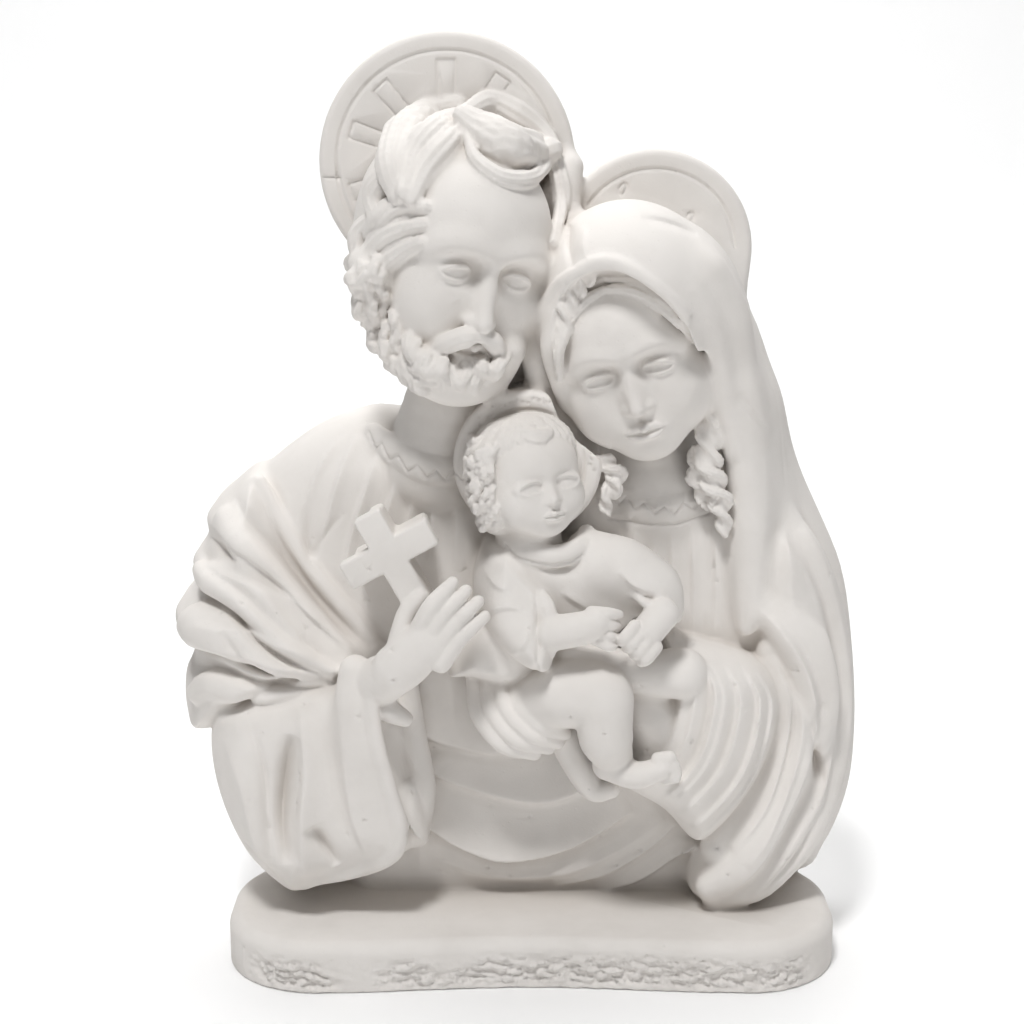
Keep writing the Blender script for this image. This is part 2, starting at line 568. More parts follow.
def manCuff(clay):
    clay.add(strand([(-75, -74, 114), (-76, -76, 100), (-74, -77, 84), (-69, -75, 64), (-65, -72, 46),
                     (-67, -68, 34)], (7, 8, 8.5, 8.5, 8, 6)), 7)
    clay.cut(strand([(-58, -84, 108), (-58, -83, 92), (-55, -82, 74), (-49, -80, 56), (-46, -76, 40)],
                    (5.5, 7.5, 8.5, 8, 5)), 1.5)
    strands(clay, [
        ([(-66, -80, 120), (-67, -84, 104), (-65, -85, 86), (-60, -83, 64), (-56, -80, 44), (-59, -76, 32),
          (-70, -72, 24), (-84, -70, 19), (-98, -66, 16)], (2.2, 2.4, 2.4, 2.4, 2.4, 2.4, 2.4, 2.2, 1.6), 8),
        ([(-54, -56, 100), (-52, -58, 80), (-48, -58, 56), (-50, -60, 34)], (5, 6, 6, 5), 2),
        ([(-68, -72, 100), (-60, -80, 98), (-54, -78, 94)], (6, 5, 3.5), 1.5),
    ])


def manHand(clay):
    clay.add(strand([(-74, -58, 102), (-63, -81, 112), (-52, -88, 122)], (9, 10, 9.5), flat=0.75), 2)
    clay.add(strand([(-56, -88, 120), (-44, -91, 131)], (10.5, 10), flat=0.62), 2)
    clay.add(strand([(-56, -86, 130), (-52, -84, 142), (-46, -85, 149)], (4.5, 4.5, 3.6)), 1.5)
    knuckles = between((-46, 138.5), (-38, 123), 4)
    tips = [(-33, 157), (-27.5, 153.5), (-22.5, 149), (-20, 142.5)]
    for i, (knuckle, tip) in enumerate(zip(knuckles, tips)):
        middle = (np.asarray(knuckle) + tip) / 2 + (-1.5, 1.0)
        points = [(knuckle[0], -91, knuckle[1]), (middle[0], -94 + i * 0.5, middle[1]),
                  (tip[0], -90, tip[1])]
        clay.add(strand(points, (4.5, 4.1, 3.5, 2.6)), 0.8)


cross = {
    "centre": (-59.5, -80, 167),
    "bar": 12.0,
    "span": 41.0,
    "thickness": 8.5,
    "head": 19.0,
    "foot": 34.0,
    "lean": -29.0,
    "web": (3.5, 14),  # the block that carries it, half its width and half its depth
    "webBehind": 16,
}


def crossInHand(clay):
    centre = np.array(cross["centre"])
    turn = turnedBy(0, 0, cross["lean"])
    bar, thick, span = cross["bar"] / 2, cross["thickness"] / 2, cross["span"] / 2
    head, foot = cross["head"], cross["foot"]
    middle = turn[:, 1] * (head - foot) / 2
    clay.add(board(centre + middle, (bar, (head + foot) / 2, thick), turn, 1.0), 0.6)
    clay.add(board(centre, (span, bar, thick), turn, 1.0), 0.6)
    web = centre + np.array([0, cross["webBehind"], 0])
    wide, deep = cross["web"]
    clay.add(board(web + middle, (wide, (head + foot) / 2 - 3, deep), turn, 2), 2)
    clay.add(board(web, (span - 3, wide, deep), turn, 2), 2)


# The woman.

woman = {
    "centre": (42.5, -40, 246),
    "height": 88,
    "wide": 1.08,
    "turn": (-6, 11, -16),
    "look": {
        "jaw": 1.04, "long": 0.97, "puff": 1.05, "brow": 0.55, "nose": 0.7, "tip": -0.175,
        "eyes": 0.0, "eye": 1.15, "lid": 0.028, "rim": 0.015, "socket": 0.75, "lips": -0.290, "full": 1.08,
        "mouth": 0.95,
    },
    "halo": (53, 287),
    "haloRadius": 42.5,
    "neck": ([(46, -22, 230), (52, -21, 202), (56, -22, 178)], (18, 17, 27)),
    "collar": ([(30, 184), (44, 180), (57, 178), (70, 180), (82, 184)], (4, 5, 5, 5, 4)),
}


def veil(clay, head):
    head.ball((0.04, 0.13, -0.06), (0.46, 0.47, 0.50), 0.04)
    clay.add(ball((40, -44, 272), (37, 41, 38)), 10)  # the hood's deep front
    clay.add(strand([(72, -60, 280), (82, -56, 260), (87, -52, 238), (89, -48, 218)], (6, 8, 7, 7)), 14)
    clay.add(mass([(66, 292), (80, 286), (92, 264), (101, 240), (108, 222), (111, 200), (112, 184),
                   (110, 168), (104, 148), (97, 130), (92, 126), (90, 150), (89, 175), (87, 205),
                   (84, 235), (74, 262)], 52, 14, bulge=4, reach=16, tilt=(0.25, 0.0)), 12)
    clay.add(strand([(87, -50, 232), (90, -47, 206), (93, -46, 180), (94, -47, 158), (94, -50, 138),
                     (93, -52, 127)], (7, 8, 8, 8, 6, 3)), 8)
    # The opening, and the hollow round her head.
    head.dent((-0.02, 0.0, 0.46), (0.345, 0.545, 0.44), 0.010)
    head.dent((-0.01, -0.07, 0.14), (0.395, 0.50, 0.30), 0.03)
    rim = []
    for turn in np.radians(np.arange(172, 18, -12.5)):
        rim.append((-0.02 + 0.355 * math.cos(turn), (0.560 + 0.012 * math.sin(6 * turn)) * math.sin(turn)))
    head.draw(rim, (0.010, 0.022, 0.024, 0.024, 0.022, 0.020), -0.004, 0.03)
    strands(clay, [
        ([(64, -72, 274), (71, -69, 264), (75.5, -64, 252), (79, -60, 238), (82, -55, 222), (86, -51, 206)],
         (2.6, 3.4, 3.8, 3.8, 4, 4), 5),
        ([(9, -64, 264), (7, -62, 251), (10, -57, 239), (15, -50, 226)], (3, 4, 4, 4), 4),
        ([(7, -50, 288), (2, -50, 268), (1, -46, 248), (6, -40, 226), (14, -36, 206)], (4, 6, 6, 7, 7), 4),
    ])


def veilFolds(clay):
    folds(clay, [
        ([(44, 304), (56, 301), (68, 296)], -1.6, 1.4, 1.4),
        ([(16, 300), (15, 292), (16, 284)], -2.2, 1.5, 1.5),
        ([(21, 300), (20, 294), (21, 288)], 1.2, 1.6, 1.2),
        ([(100, 214), (93, 222), (86, 231)], -1.2, 1.4, 1.4),
    ])


def ringlet(clay, path, widths, turns, depth):  # two locks twisted round each other
    line = curveThrough(path, 10)
    wide = spread(widths, len(line))
    ahead = np.gradient(line, axis=0)
    ahead /= np.linalg.norm(ahead, axis=1)[:, None]
    clay.add(strand([(x, depth + 0.5, z) for x, z in line], wide * 0.5, steps=1), 2)
    for first in (0, math.pi):
        swing = turns * math.pi * np.linspace(0, 1, len(line)) + first
        places = []
        for i, (x, z) in enumerate(line):
            across = 0.85 * wide[i] * math.sin(swing[i])
            y = depth - 0.45 * wide[i] * math.cos(swing[i]) + 0.3
            places.append((x - ahead[i][1] * across, y, z + ahead[i][0] * across))
        clay.add(strand(places, wide * 0.42, steps=1, hairs=3, comb=0.4), 0.7)


def womanHair(clay, head):
    for side in (-1, 1):
        for row in (0.045, 0.0):
            path = [(side * 0.01, 0.40 + row), (side * 0.10, 0.37 + row), (side * 0.19, 0.30 + row),
                    (side * 0.265, 0.19 + row), (side * 0.30, 0.05)]
            head.draw(path, (0.020, 0.030, 0.030, 0.026, 0.018), 0.004, 0.006, hairs=3, comb=0.4)
    for path, widths, turns, depth in (
        ([(25, 281), (18, 276), (14, 267), (13, 254)], (2.4, 4.0, 3.6, 2.2), 4, -68),
        ([(77, 240), (78, 226), (74, 211), (73, 199)], (2.6, 4.4, 4.6, 3.0), 4, -53),
        ([(78, 214), (75, 199), (80, 184), (83, 168)], (3.0, 5.4, 5.0, 2.4), 5, -53),
        ([(69, 206), (70, 193), (75, 179)], (2.2, 3.6, 2.0), 3, -50),
        ([(28, 202), (34, 198), (36, 191), (31, 184), (33, 177)], (2.4, 4.0, 4.0, 3.2, 1.8), 4, -53),
    ):
        ringlet(clay, path, widths, turns, depth)


def womanCloth(clay):
    clay.add(mass([(14, 190), (40, 188), (84, 186), (104, 176), (112, 110), (60, 90), (4, 104)],
                  46, 14, bulge=4, reach=30, tilt=(0.0, 0.06)), 4)
    clay.add(mass([(96, 150), (107, 172), (120, 165), (131, 141), (138, 110), (140, 80), (138, 50),
                   (131, 22), (116, 5), (94, -3), (72, 3), (72, 22), (84, 38), (98, 60), (104, 85),
                   (102, 103), (96, 122)], 60, 22, bulge=6, reach=24, tilt=(0.38, 0.03)), 4)
    rolls = [
        ([(106, 178), (119, 158), (130, 130), (135, 98), (133, 66), (121, 34), (102, 12), (82, 4)],
         (6, 8, 9, 9, 9, 9, 8, 6), -0.2),
        ([(98, 140), (110, 128), (120, 108), (119, 80), (109, 52), (94, 26), (78, 12)],
         (5, 8, 9, 8, 8, 8, 6), -0.1),
        ([(104, 116), (109, 98), (107, 76), (97, 50), (82, 28)], (5, 9, 10, 10, 7), 0.2),
    ]
    for points, radii, lift in rolls:
        lay(clay, points, radii, lift=lift, blend=4, spare=-30)
    clay.add(mass([(57, 125), (68, 123), (86, 118), (98, 112), (105, 98), (104, 80), (96, 58), (84, 40),
                   (72, 32), (58, 47), (41, 58), (29, 69), (44, 76), (53, 86), (58, 106)],
                  77, 13, bulge=6, reach=18, tilt=(0.12, 0.0)), 1.5)


def womanFolds(clay):
    folds(clay, [  # pleats under her collar
        ([(x, 171), (x + 1, 150), (x + 1.5, 122)], 1.8, 3.4, 1.0) for x in (44, 52, 60, 69, 79)
    ])
    folds(clay, [  # the mantle
        ([(118, 170), (129, 150), (138, 118), (142, 84), (136, 46), (118, 16)], 2.8, 2.0, 8.0),
        ([(106, 168), (120, 148), (129, 120), (134, 92), (130, 58), (118, 32), (98, 8)], 5.0, 1.6, 9.0),
        ([(96, 138), (108, 127), (119, 108), (123, 84), (116, 56), (100, 26), (84, 8)], 5.0, 1.6, 8.0),
        ([(104, 116), (111, 98), (110, 76), (102, 50), (88, 30)], 4.0, 1.4, 6.0),
        ([(110, 106), (117, 88), (114, 66), (104, 40), (94, 24)], 3.0, 1.4, 4.0),
        ([(125, 96), (122, 83), (125, 66), (129, 56)], -4.0, 2.4, 2.4),
        ([(128, 50), (116, 26), (100, 8)], -2.6, 2.2, 2.2),
    ])
    first = np.array([(61, 122), (64, 108), (59, 84), (47, 66)], float)
    last = np.array([(96, 113), (103, 96), (95, 64), (73, 38)], float)
    sleeve = ((0.0, 4.0), (0.13, 2.0), (0.34, 4.6), (0.45, 2.2), (0.62, 3.6), (0.85, 4.2), (1.0, 3.0))
    folds(clay, [(first + (last - first) * share, height, 6.0, 1.0) for share, height in sleeve])


def womanArm(clay):
    clay.add(strand([(64, -72, 112), (40, -74, 114), (16, -72, 121)], (11, 9, 8)), 2)
    clay.add(ball((-12, -60, 102), (14, 12, 10)), 3)
    clay.add(strand([(43, -62, 104), (51, -65, 91), (57, -65, 75)], (12, 13, 11)), 4)
    fingers = [
        [(-25, -62, 106), (-23, -71, 94), (-13, -76, 82), (1, -74, 77)],
        [(-19, -64, 107), (-17, -73, 96), (-7, -78, 85), (7, -75, 80)],
        [(-13, -66, 107), (-11, -75, 98), (-1, -79, 88), (11, -76, 83)],
        [(-7, -68, 106), (-5, -76, 99), (4, -79, 91), (14, -76, 87)],
    ]
    for points in fingers:
        clay.add(strand(points, (3.6, 3.8, 3.7, 3.0)), 0.5)


def lowerCloth(clay):
    clay.add(mass([(-78, -6), (-82, 60), (-50, 112), (0, 120), (62, 112), (96, 60), (108, 20),
                   (104, -6), (0, -9)], 44, 10, bulge=4, reach=30, tilt=(0.0, -0.04)), 6)
    folds(clay, [
        ([(-60, 98), (-50, 80), (-30, 71), (-8, 68), (14, 72)], 5.0, 12.0, 2.0),
        ([(-60, 88), (-46, 62), (-22, 50), (6, 45), (32, 54)], 5.5, 10.0, 2.2),
        ([(-58, 60), (-46, 34), (-21, 20), (-2, 19), (20, 25), (46, 40)], 10.0, 16.0, 1.3),
        ([(-46, 18), (-20, 9), (10, 9), (36, 20), (60, 36)], 5.0, 9.0, 3.0),
        ([(10, 2), (32, 9), (52, 22), (66, 34)], 5.0, 7.0, 1.4),
        ([(30, -1), (48, 6), (64, 18), (74, 27)], 5.0, 7.0, 1.4),
        ([(-50, 6), (-50, 24), (-51, 60), (-50, 92)], 2.5, 3.0, 4.0),
    ])


# The child.

child = {
    "centre": (-1, -65, 195),
    "height": 51,
    "wide": 1.22,
    "turn": (26, -8, -5),
    "look": {
        "jaw": 1.0, "long": 0.90, "puff": 1.15, "brow": 0, "nose": 0.2, "tip": -0.165,
        "eyes": -0.03, "eye": 1.45, "lid": 0.050, "rim": 0.020, "socket": 0.0, "lips": -0.285, "full": 1.0,
        "mouth": 0.95,
    },
    "halo": (-2, 200),
    "haloRadius": 31.5,
    "haloFront": 58.0,
    "haloThick": 34.0,
    "neck": ([(0, -62, 180), (0, -64, 164)], (11, 13)),
}


def childBody(clay):
    clay.add(mass([(-20, 166), (-4, 169), (14, 165), (24, 169), (38, 163), (48, 152), (46, 138), (32, 124),
                   (14, 119), (0, 108), (-12, 104), (-26, 108), (-36, 109), (-31, 124), (-24, 145)],
                  78, 11, bulge=6, reach=16), 2)
    clay.add(mass([(-11, 169), (-20, 163), (-25, 150), (-22, 137), (-13, 126), (-3, 119), (6, 118),
                   (9.5, 127), (9.5, 140), (7, 150), (0, 156), (-3, 163)],
                  90, 10, bulge=8, reach=14, tilt=(-0.30, 0.35)), 3)
    strands(clay, [
        ([(24, -64, 162), (38, -68, 157), (50, -70, 149), (55, -72, 142)], (11, 13.5, 13, 9), 5),
        ([(61, -70, 136), (55, -80, 142), (48, -84, 146), (41, -79, 150)], (2.2, 2.8, 2.6, 1.6), 1.5),
    ])
    folds(clay, [
        ([(-8, 158), (-2, 153), (4, 147)], 2.0, 2.5, 1.2),
        ([(-22, 140), (-13, 146), (-4, 146)], 2.0, 3.0, 1.2),
        ([(-10, 124), (-4, 132), (0, 142)], 2.0, 3.0, 1.2),
        ([(12, 150), (18, 146), (24, 142)], 1.8, 2.5, 1.2),
        ([(36, 160), (42, 154), (50, 151)], 2.0, 3.0, 1.2),
        ([(1.0, 153), (2.4, 136), (1.5, 117)], -2.4, 1.0, 1.0),
        ([(-21, 158), (-15, 154), (-9, 153)], 1.6, 2.4, 1.0),
        ([(44, 149), (50, 148), (56, 141)], -1.2, 1.0, 1.0),
        ([(-30, 112), (-18, 114), (-6, 111)], 1.8, 3.0, 1.2),
    ])
    # The collar, then the two hands.
    collar = [(-12, -62, 172), (-8, -69, 168), (0, -74, 165.5), (8, -76, 164.5), (16, -74, 165.5),
              (21, -69, 168), (23, -61, 171)]
    clay.add(strand(collar, (4.4, 4.8, 5.0, 5.0, 5.0, 4.6, 3.8), flat=0.7), 1.0)
    cuff = [(2, -76, 150), (6, -86, 146), (7.5, -90, 137), (6.5, -89, 127), (3, -80, 120)]
    clay.add(strand(cuff, (2.6, 3.2, 3.4, 3.2, 2.6), flat=0.7), 0.7)
    clay.add(strand([(8, -89, 135), (20, -92, 138), (26, -93, 141)], (7.5, 7, 6)), 1.2)
    for i, z in enumerate((146, 142.3, 138.6, 135.2)):
        clay.add(strand([(24, -92, z - 1), (31, -94, z - 1 - i), (35.5 - 0.8 * i, -92, z - 2 - i)],
                        (2.6, 2.5, 1.9)), 0.7)
    clay.add(strand([(54, -84, 142), (48, -88, 136)], (7, 7)), 1.2)
    for x, z in between((38, 136), (47, 127), 4):
        clay.add(strand([(x + 4, -92, z + 3), (x, -95, z - 1), (x - 2, -90, z - 4)], (2.8, 2.8, 2.3)), 0.5)


def childLegs(clay):
    strands(clay, [
        ([(6, -70, 101), (16, -78, 106), (28, -85, 107)], (14, 15.5, 13.5), 2),
        ([(30, -86, 104), (31, -84, 88), (36, -80, 76)], (12.5, 11.5, 7), 2),
        ([(32, -80, 74), (44, -84, 71), (55, -86, 75)], (6.5, 6, 4.5), 1.5),
    ])
    toes = ((58, 80, 2.9), (60, 77, 2.3), (61, 74.5, 2.1), (61.3, 72.2, 1.9), (61, 70.2, 1.7))
    for x, z, size in toes:
        clay.add(strand([(x - 5, -86, z - 1), (x, -87, z)], (size, size)), 0.6)
    clay.add(strand([(12, -66, 92), (17, -68, 76), (26, -70, 60), (34, -72, 60)], (8, 7, 5.5, 4)), 1.5)


def childHair(clay, head):
    head.ball((-0.03, 0.14, -0.14), (0.375, 0.395, 0.38), 0.03)
    head.ball((-0.17, -0.05, -0.08), (0.23, 0.36, 0.31), 0.04)
    # Fine wavy locks from the crown down to the hairline, all round.
    for i, around in enumerate(range(-150, 90, 12)):
        low = 44 - 34 * (min(abs(around), 75) / 75) ** 1.4 - 24 * (around < -75)
        path = []
        for k, share in enumerate(np.linspace(0, 1, 6)):
            wave = 4.0 * (-1) ** (k + i) * math.sin(math.pi * min(1, share * 1.2 + 0.1))
            path.append((around * (0.55 + 0.45 * share) + wave, 86 + (low - 86) * share))
        head.lock(path, (1.4, 2.6, 2.4, 1.2), proud=0.028, blend=0.7, hairs=3, comb=0.45)
    # Small curls in front of the ear and down to the nape.
    clay.add(strand([(-19, -76, 208), (-20, -74, 197), (-19, -72, 187), (-16, -68, 177)],
                    (4, 5.5, 6, 4.5)), 4)
    side = curveThrough([(-21, 212), (-22.5, 200), (-21, 188), (-17, 175)], 4)
    curls(clay, side, (-7.5, -3.0, 1.5, 6.0), 0.62, -60)
    head.lock([(-36, 56), (-18, 45), (0, 39), (14, 40), (20, 46)], (1.4, 2.6, 2.5, 1.3),
              proud=0.035, hairs=3, comb=0.35)
    head.lock([(-28, 44), (-14, 35), (0, 31), (9, 36)], (1.0, 1.9, 1.7, 1.0),
              proud=0.030, hairs=2, comb=0.3)


# The base, the halos and the ground behind the figures.

haloSize = {"thickness": 18.0, "edge": 3.0, "border": 8.0, "ring": 1.0}


def halo(clay, centre, radius, front, thick):
    edge = haloSize["edge"]
    ring = radius - haloSize["border"]
    cx, cz = centre

    def disc(x, y, z):
        body = roundedFront(np.hypot(x - cx, z - cz) - radius, -front - y, edge)
        return np.maximum(body, y + front - thick)

    def groove(x, y, z):
        return np.hypot(np.hypot(x - cx, z - cz) - ring, y + front) - haloSize["ring"]

    low, high = (cx - radius, -front, cz - radius), (cx + radius, thick - front, cz + radius)
    clay.add((disc, low, high), 1.5)
    clay.cut((groove, (cx - radius, -front - 2, cz - radius), (cx + radius, 2 - front, cz + radius)), 0.4)


def base(clay):
    halfX, halfY = baseSize["length"] / 2, baseSize["depth"] / 2
    corner, edge = baseSize["corner"], baseSize["edge"]

    def distance(x, y, z):
        waist = baseSize["waist"] * np.exp(-((x / (0.45 * halfX)) ** 2))
        side = np.abs(x) - halfX + corner
        depth = np.abs(y + halfY + 0 * x) - halfY + corner + np.where(y < -halfY, waist, 0)
        plan = np.hypot(np.maximum(side, 0), np.maximum(depth, 0)) + np.minimum(np.maximum(side, depth), 0)
        return np.maximum(roundedFront(plan - corner, z + 0 * plan, edge), -baseSize["height"] - z)

    clay.add((distance, (-halfX, -2 * halfY, -baseSize["height"]), (halfX, 0, 0)), 3)


def ground(clay):
    clay.add(mass([(-112, 2), (-130, 24), (-141, 54), (-146, 80), (-150, 104), (-150, 125), (-145, 152),
                   (-137, 174), (-118, 190), (-96, 205), (-72, 216), (-50, 218), (-36, 250), (0, 262),
                   (44, 268), (86, 264), (103, 232), (113, 203), (126, 176), (139, 146), (145, 113),
                   (148, 75), (146, 42), (136, 14), (122, 0), (60, -6), (0, -6), (-60, -6)], 32, 15), 3)


def sculpt(cell):
    depth, height, thick = baseSize["depth"], baseSize["height"], haloSize["thickness"]
    left, right = grain["sides"]
    clay = Clay((left, -depth - 5, -height - 4), (right, 6, grain["top"]), cell)
    for who in (man, woman):
        halo(clay, who["halo"], who["haloRadius"], thick, thick)
    ground(clay)
    manCloth(clay)
    womanCloth(clay)
    lowerCloth(clay)
    manFolds(clay)
    womanFolds(clay)
    manCuff(clay)
    clay.add(strand(*man["neck"]), 2)
    lay(clay, *man["collar"], lift=-0.25, flat=0.6)
    lay(clay, *woman["collar"], lift=-0.1, flat=0.6)
    base(clay)
    halo(clay, child["halo"], child["haloRadius"], child["haloFront"], child["haloThick"])
    clay.add(strand([(16, -20, 322), (9, -24, 300), (4, -27, 272), (4, -30, 246)], (6, 11, 14, 14)), 6)
    print("cloth, halos and base sculpted")
    head = Head(clay, woman)
    veil(clay, head)
    clay.add(strand(*woman["neck"]), 4)
    veilFolds(clay)
    face(head, woman["look"])
    womanHair(clay, head)
    head = Head(clay, man)
    face(head, man["look"])
    manHair(clay, head)
    manBeard(clay, head)
    print("man and woman sculpted")
    womanArm(clay)
    childLegs(clay)
    childBody(clay)
    clay.add(strand(*child["neck"]), 2)
    head = Head(clay, child)
    face(head, child["look"])
    childHair(clay, head)
    crossInHand(clay)
    manHand(clay)
    print("child, cross and hands sculpted")
    clay.field = np.maximum(clay.field, clay.axes[1][None, :, None])  # the flat back
    clay.field = np.maximum(clay.field, -height - clay.axes[2][None, None, :])  # and underside
    clay.field = np.maximum(clay.field, -depth - 0.05 - clay.axes[1][None, :, None])  # and front
    return clay


# From clay to one closed mesh.


def largestShell(count, faces):  # without stray crumbs and inner voids
    edges = np.vstack([faces[:, [i, (i + 1) % 4]] for i in range(4)])
    label = np.arange(count)
    while True:
        low = np.minimum(label[edges[:, 0]], label[edges[:, 1]])
        lower = label.copy()
        np.minimum.at(lower, edges[:, 0], low)
        np.minimum.at(lower, edges[:, 1], low)
        lower = lower[lower]
        if (lower == label).all():
            break
        label = lower
    shell = label[faces[:, 0]]
    return faces[shell == np.bincount(shell).argmax()]


def recesses(clay, points, step, reach):  # how deep in a hollow each point lies, from 0 to 1
    solid = (clay.field[::step, ::step, ::step] < 0).astype(np.float32)
    size = int(round(reach / (clay.cell * step)))
    for _ in range(2):
        for axis in range(3):
            pad = [(size + 1, size) if i == axis else (0, 0) for i in range(3)]
            total = np.cumsum(np.pad(solid, pad), axis=axis, dtype=np.float32)
            count = solid.shape[axis]
            upper = np.take(total, np.arange(2 * size + 1, 2 * size + 1 + count), axis=axis)
            lower = np.take(total, np.arange(count), axis=axis)
            solid = (upper - lower) / (2 * size + 1)
    value = readBetween(solid, (points - clay.low) / (clay.cell * step))
    return np.clip((value - 0.5) * 2, -1, 1)


def surface(clay):
    band = 3 * clay.cell
    grid = openvdb.FloatGrid(band)
    grid.copyFromArray(np.clip(clay.field, -band, band))
    points, faces = grid.convertToQuads(isovalue=0.0)
    faces = largestShell(len(points), faces)
    used, faces = np.unique(faces, return_inverse=True)
    points = points[used] * clay.cell + clay.low
    return points, faces.reshape(-1, 4)


def toFrame(points):  # clay's millimetres to the frame's metres
    return (np.asarray(points, float) + (0, baseSize["depth"] / 2, baseSize["height"])) * 0.001


def meshFrom(name, points, faces):
    mesh = bpy.data.meshes.new(name)
    mesh.vertices.add(len(points))
    mesh.vertices.foreach_set("co", points.astype(np.float32).ravel())
    mesh.loops.add(faces.size)
    mesh.loops.foreach_set("vertex_index", faces.astype(np.int32).ravel())
    mesh.polygons.add(len(faces))
    mesh.polygons.foreach_set("loop_start", np.arange(0, faces.size, 4, dtype=np.int32))
    mesh.update(calc_edges=True)
    mesh.shade_smooth()
    return mesh


engraving = {  # width, depths and chips in metres, the places in millimetres
    "width": 0.0010,
    "depth": 0.0010,
    "step": 1.0,  # from one place of a line to the next
    "chipDepth": 0.0024,
    "chipTop": 0.019,  # how far up the base's front it is chipped
    "chipBehind": 0.004,  # how far back from the front it is chipped in full
    "seed": 4.0,
    "pinholes": 70,
    "pinholesFrom": (-140, -14),
    "pinholesTo": (140, 165),
    "rays": (0, 34, 65, -41, -71, -107),  # degrees round the man's halo
    "rayInner": 22.0,
    "rayOuter": 43.0,
    "rayHalf": 3.8,
    "dotRing": 27.4,  # radius of the dots on the child's halo
    "dotWander": 1.5,
    "levelSpare": 1.2,  # how far off a halo's face a line may still lie
}


def engravedPaths():  # lines in x, z, each with the level of the halo it belongs to, or None
    lines = []
    level = -haloSize["thickness"]
    cx, cz = man["halo"]
    for degrees in engraving["rays"]:
        a = math.radians(degrees)
        along = np.array([math.sin(a), math.cos(a)])
        across = np.array([math.cos(a), -math.sin(a)]) * engraving["rayHalf"]
        inner, outer = along * engraving["rayInner"], along * engraving["rayOuter"]
        corners = [inner - across * 0.8, outer - across, outer + across, inner + across * 0.8]
        lines.append(([(cx + p[0], cz + p[1]) for p in corners], level))
    lines.append(([(-91, 318), (-83, 317.5)], level))
    for x, z in ((39, 313), (68, 300.5)):  # ovals on the woman's halo
        ring = [(x + 1.6 * math.cos(a) + 0.8 * math.sin(a), z + 2.6 * math.sin(a))
                for a in np.linspace(0, 2 * math.pi, 9)]
        lines.append((ring, level))
    for path, tall in (  # zigzag bands on the collars
        ([(-71, 207), (-62, 201), (-49, 196), (-37, 194), (-26, 195)], 2.3),
        ([(34, 182), (44, 180), (57, 178), (70, 180), (80, 183)], 2.0),
    ):
        middle = curveThrough(path, 3)
        lines.append(([(x, z + tall * (-1) ** i) for i, (x, z) in enumerate(middle)], None))
    lines.append(([(33, 173.5), (48, 171.5), (62, 171.5), (79, 176)], None))
    lines.append(([(-11.5, 168.5), (-7, 164.5), (0, 162.5), (8, 161.5), (16, 162.5), (20.5, 165)], None))
    random = np.random.default_rng(11)
    cx, cz = child["halo"]
    for a in np.radians(np.arange(-70, 100, 5.0)):
        radius = engraving["dotRing"] + random.uniform(-engraving["dotWander"], engraving["dotWander"])
        x, z = cx + radius * math.sin(a), cz + radius * math.cos(a)
        lines.append(([(x, z), (x + 0.3, z)], -child["haloFront"]))
    holes = random.uniform(engraving["pinholesFrom"], engraving["pinholesTo"], (engraving["pinholes"], 2))
    for x, z in holes:
        lines.append(([(x, z), (x + 0.2, z)], None))
    return lines


def engravedLines(clay):  # lays the lines on the clay's front, as edges
    points, edges = [], []
    for line, level in engravedPaths():
        last = None
        for (ax, az), (bx, bz) in zip(line, line[1:]):
            count = max(1, int(math.hypot(bx - ax, bz - az) / engraving["step"]))
            for share in np.arange(count + 1) / count:
                x, z = ax + (bx - ax) * share, az + (bz - az) * share
                y = clay.frontAt(x, z, None)
                if y is None or (level is not None and abs(y - level) > engraving["levelSpare"]):
                    last = None
                    continue
                points.append((x, y, z))
                if last is not None:
                    edges.append((last, len(points) - 1))
                last = len(points) - 1
    mesh = bpy.data.meshes.new("engravedLines")
    mesh.from_pydata(toFrame(points).tolist() if points else [], edges, [])
    guide = bpy.data.objects.new("engravedLines", mesh)
    bpy.context.scene.collection.objects.link(guide)
    return guide


